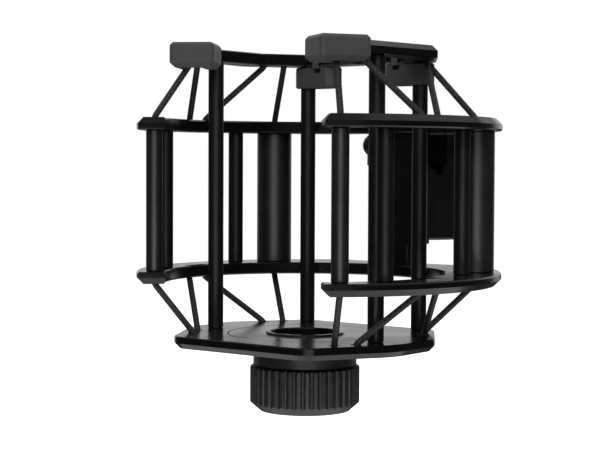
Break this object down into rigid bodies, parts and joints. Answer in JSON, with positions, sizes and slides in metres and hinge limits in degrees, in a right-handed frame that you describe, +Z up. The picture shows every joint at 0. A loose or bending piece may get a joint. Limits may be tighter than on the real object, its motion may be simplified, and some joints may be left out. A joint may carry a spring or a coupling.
{
  "type": "microphone shock mount",
  "caption": "Black elastic-suspension shock mount for a large microphone: post cradle with a screw ring inside an open ring frame with a tilting stand adapter.",
  "frame": {"origin": "centre of the stand socket's mouth, on the lower face of the stand adapter", "axes": "+Z up along the stand and parallel to the microphone's axis, -Y towards the open front, +X to the right of the open front as seen from the clamp side"},
  "size_m": [0.1162, 0.1201, 0.1157],
  "materials": {
    "ring_black": "satin black anodised, fine grain",
    "gloss_black": "semi-gloss black",
    "grey_rubber": "matte dark grey",
    "knob_plastic": "matte black",
    "grip_grey": "satin dark grey, fluted",
    "cord": "braided sheath",
    "dark_steel": "black oxide",
    "brass": "turned"
  },
  "bodies": {
    "stand_adapter": {"stand_adapter": "ring_black", "thread_insert": "brass"},
    "outer_frame": {"upper_ring": "gloss_black", "lower_ring": "gloss_black", "end_post_right": "ring_black", "end_post_left": "ring_black", "front_post_right": "ring_black", "front_post_left": "ring_black", "side_post_right": "ring_black", "side_post_left": "ring_black", "corner_post_right": "ring_black", "corner_post_left": "ring_black", "rear_block": "ring_black", "front_post_screw_lower_right": "dark_steel", "front_post_screw_lower_left": "dark_steel", "front_post_screw_upper_right": "dark_steel", "front_post_screw_upper_left": "dark_steel", "side_post_screw_lower_right": "dark_steel", "side_post_screw_lower_left": "dark_steel", "side_post_screw_upper_right": "dark_steel", "side_post_screw_upper_left": "dark_steel", "block_screw_lower": "dark_steel", "block_screw_upper_right": "dark_steel", "block_screw_upper_left": "dark_steel", "cap_nut": "dark_steel", "washer_right": "dark_steel", "washer_left": "dark_steel", "cord_run_end_right": "cord", "cord_run_end_left": "cord", "cord_run_corner_right": "cord", "cord_run_corner_left": "cord", "cord_upper_right": "cord", "cord_upper_left": "cord", "cord_lower_right": "cord", "cord_lower_left": "cord"},
    "cradle": {"base_plate": "gloss_black", "top_plate": "gloss_black", "cradle_front_post_right": "ring_black", "cradle_front_post_left": "ring_black", "cradle_rear_post_right": "ring_black", "cradle_rear_post_left": "ring_black", "cradle_front_post_screw_lower_right": "dark_steel", "cradle_front_post_screw_lower_left": "dark_steel", "cradle_front_post_screw_upper_right": "dark_steel", "cradle_front_post_screw_upper_left": "dark_steel", "cradle_rear_post_screw_lower_right": "dark_steel", "cradle_rear_post_screw_lower_left": "dark_steel", "cradle_rear_post_screw_upper_right": "dark_steel", "cradle_rear_post_screw_upper_left": "dark_steel", "end_cap_right": "grey_rubber", "end_cap_left": "grey_rubber", "rear_pad_right": "grey_rubber", "rear_pad_left": "grey_rubber", "seat": "gloss_black", "collar": "grip_grey"},
    "mic_ring": {"knurled_ring": "grip_grey"},
    "clamp_knob": {"clamp_knob": "knob_plastic", "clamp_bolt": "dark_steel"}
  },
  "joints": [
    {"name": "tilt", "type": "hinge", "parent": "stand_adapter", "child": "outer_frame", "pos_m": [0, 0, 0.0329], "axis": [-1, 0, 0], "range_deg": [0, 150]},
    {"name": "cradle_bounce", "type": "slide", "parent": "outer_frame", "child": "cradle", "axis": [0, 0, 1], "range_m": [-0.004, 0.004], "stiffness_N_per_m": 1500, "springref_m": 0.0006, "deforming": ["cord_upper_right", "cord_upper_left", "cord_lower_right", "cord_lower_left"]},
    {"name": "ring_turn", "type": "hinge", "parent": "cradle", "child": "mic_ring", "pos_m": [0, -0.0705, -0.0445], "axis": [0, 0, 1], "continuous": true},
    {"name": "knob_turn", "type": "hinge", "parent": "outer_frame", "child": "clamp_knob", "pos_m": [0, 0, 0.0329], "axis": [1, 0, 0], "continuous": true}
  ]
}
